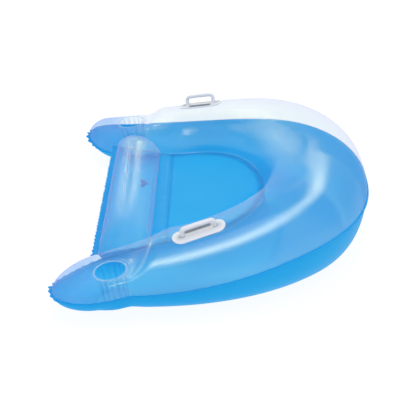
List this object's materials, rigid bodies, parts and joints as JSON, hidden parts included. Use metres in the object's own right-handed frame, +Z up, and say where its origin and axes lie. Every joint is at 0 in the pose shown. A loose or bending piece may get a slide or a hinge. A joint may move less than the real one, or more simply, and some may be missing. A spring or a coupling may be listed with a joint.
{
  "type": "inflatable pool lounger",
  "caption": "Horseshoe-shaped inflatable pool lounger with a clear top and blue underside, seat floor, front bolster, cup holders in the arm tips and grab handles.",
  "frame": {"origin": "on the ground under the middle of the outline, seen from above", "axes": "+Z up, +X towards the closed back-rest end of the horseshoe, +Y towards the sitter's right arm (the sitter faces -X)"},
  "size_m": [0.98, 1.184, 0.3099],
  "materials": {
    "clear_film": "glossy clear PVC film with a faint milky lavender tint",
    "blue_film": "glossy translucent blue PVC film",
    "floor_film": "satin translucent blue PVC film",
    "handle_plastic": "satin moulded soft plastic, nearly white",
    "valve_plastic": "semi-clear soft moulded plastic"
  },
  "bodies": {
    "lounger": {"bolster_bottom_sheet": "blue_film", "bolster_top_sheet": "clear_film", "bolster_valve_flange": "valve_plastic", "left_cup_base": "blue_film", "left_cup_rim": "clear_film", "left_cup_wall": "clear_film", "left_handle": "handle_plastic", "right_cup_base": "blue_film", "right_cup_rim": "clear_film", "right_cup_wall": "clear_film", "right_handle": "handle_plastic", "ring_bottom_sheet": "blue_film", "ring_top_sheet": "clear_film", "ring_valve_flange": "valve_plastic", "seat_floor_sheet": "floor_film"},
    "bolster_valve_stem": {"bolster_valve_stem": "valve_plastic"},
    "bolster_valve_plug": {"bolster_valve_plug": "valve_plastic"},
    "bolster_valve_flap": {"bolster_valve_flap": "valve_plastic"},
    "ring_valve_stem": {"ring_valve_stem": "valve_plastic"},
    "ring_valve_plug": {"ring_valve_plug": "valve_plastic"},
    "ring_valve_flap": {"ring_valve_flap": "valve_plastic"}
  },
  "joints": [
    {"name": "bolster_valve_stem_slide", "type": "slide", "parent": "lounger", "child": "bolster_valve_stem", "axis": [0.454, 0, 0.891], "range_m": [0, 0.01]},
    {"name": "bolster_valve_plug_hinge", "type": "hinge", "parent": "bolster_valve_stem", "child": "bolster_valve_plug", "pos_m": [-0.24268, -0.025, 0.18441], "axis": [0, -1, 0], "range_deg": [0, 130]},
    {"name": "bolster_valve_flap_hinge", "type": "hinge", "parent": "bolster_valve_stem", "child": "bolster_valve_flap", "pos_m": [-0.24658, -0.025, 0.1653], "axis": [0, 1, 0], "range_deg": [0, 45], "stiffness_Nm_per_rad": 0.0004, "springref_deg": -8.59},
    {"name": "ring_valve_stem_slide", "type": "slide", "parent": "lounger", "child": "ring_valve_stem", "axis": [-0.2762, -0.863, -0.4231], "range_m": [0, 0.01]},
    {"name": "ring_valve_plug_hinge", "type": "hinge", "parent": "ring_valve_stem", "child": "ring_valve_plug", "pos_m": [-0.01538, 0.28702, 0.07195], "axis": [-0.9524, 0.3049, 0], "range_deg": [0, 130]},
    {"name": "ring_valve_flap_hinge", "type": "hinge", "parent": "ring_valve_stem", "child": "ring_valve_flap", "pos_m": [-0.00951, 0.30534, 0.07519], "axis": [0.9524, -0.3049, 0], "range_deg": [0, 45], "stiffness_Nm_per_rad": 0.0004, "springref_deg": -8.59}
  ]
}
